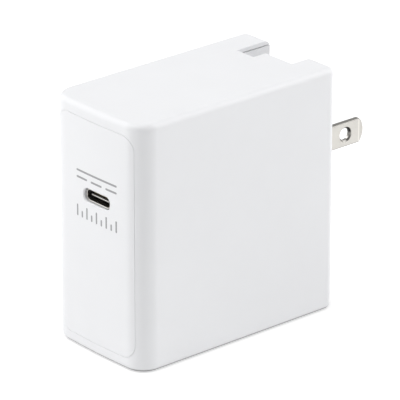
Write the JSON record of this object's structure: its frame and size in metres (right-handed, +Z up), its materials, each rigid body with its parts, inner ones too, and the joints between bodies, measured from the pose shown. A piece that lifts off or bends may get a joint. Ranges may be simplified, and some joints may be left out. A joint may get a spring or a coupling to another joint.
{
  "type": "laptop power adapter",
  "caption": "White block wall charger with a folding two-blade plug at the back, a stepped finger notch in its top edge, and a USB-C port in an inlaid front plate.",
  "frame": {"origin": "centre of the flat bottom face of the case", "axes": "+Z up, -Y out of the port face, +Y out of the wall face along the opened blades, +X to the right seen from the port side"},
  "size_m": [0.033, 0.0805, 0.0635],
  "materials": {
    "case_white": "fine satin moulded",
    "plate_white": "smooth satin moulded",
    "cover_white": "fine satin moulded",
    "black_plastic": "satin",
    "blade_nickel": "nickel-plated brass, satin",
    "shell_steel": "drawn",
    "spring_bronze": "rolled strip",
    "contact_gold": "gold-plated",
    "sheet_aluminium": "rolled sheet",
    "copper_wire": "enamelled wire",
    "board_green": "solder mask on glass laminate",
    "ferrite": "sintered",
    "tape_yellow": "polyester film",
    "capacitor_sleeve": "shrink sleeve",
    "film_case": "moulded box",
    "disc_blue": "dipped coating",
    "disc_green": "dipped coating",
    "fuse_brown": "moulded cap",
    "pad_grey": "filled silicone",
    "sheet_amber": "insulating film",
    "white_plastic": "moulded",
    "lead_black": "extruded insulation"
  },
  "bodies": {
    "charger": {"outer_sleeve": "case_white", "front_plate": "plate_white", "rear_cover": "cover_white", "carrier_retainer": "black_plastic", "usb_tongue": "black_plastic", "pd_controller": "black_plastic", "board_link": "black_plastic", "bridge_rectifier": "black_plastic", "primary_switch": "black_plastic", "flyback_controller": "black_plastic", "transformer_bobbin": "black_plastic", "sync_rectifier": "black_plastic", "usb_shell": "shell_steel", "detent_spring": "shell_steel", "contact_spring_left": "spring_bronze", "contact_spring_right": "spring_bronze", "usb_contacts_upper": "contact_gold", "usb_contacts_lower": "contact_gold", "primary_heat_spreader": "sheet_aluminium", "secondary_heat_spreader": "sheet_aluminium", "output_capacitor_1": "sheet_aluminium", "output_capacitor_2": "sheet_aluminium", "choke_winding_left": "copper_wire", "choke_winding_right": "copper_wire", "primary_winding": "copper_wire", "secondary_winding": "copper_wire", "main_board": "board_green", "output_board": "board_green", "transformer_core_upper": "ferrite", "transformer_core_lower": "ferrite", "choke_core": "ferrite", "winding_tape": "tape_yellow", "core_tape": "tape_yellow", "bulk_capacitor_1": "capacitor_sleeve", "bulk_capacitor_2": "capacitor_sleeve", "bulk_capacitor_3": "capacitor_sleeve", "x_capacitor": "film_case", "y_capacitor": "disc_blue", "inrush_thermistor": "disc_green", "fuse": "fuse_brown", "thermal_pad": "pad_grey", "insulation_sheet": "sheet_amber", "optocoupler": "white_plastic", "neutral_lead": "white_plastic", "live_lead": "lead_black"},
    "plug": {"blade_carrier": "cover_white", "blade_left": "blade_nickel", "blade_right": "blade_nickel"}
  },
  "joints": [
    {"name": "plug_fold", "type": "hinge", "parent": "charger", "child": "plug", "pos_m": [0, 0.0279, 0.04], "axis": [1, 0, 0], "range_deg": [0, 90]}
  ]
}
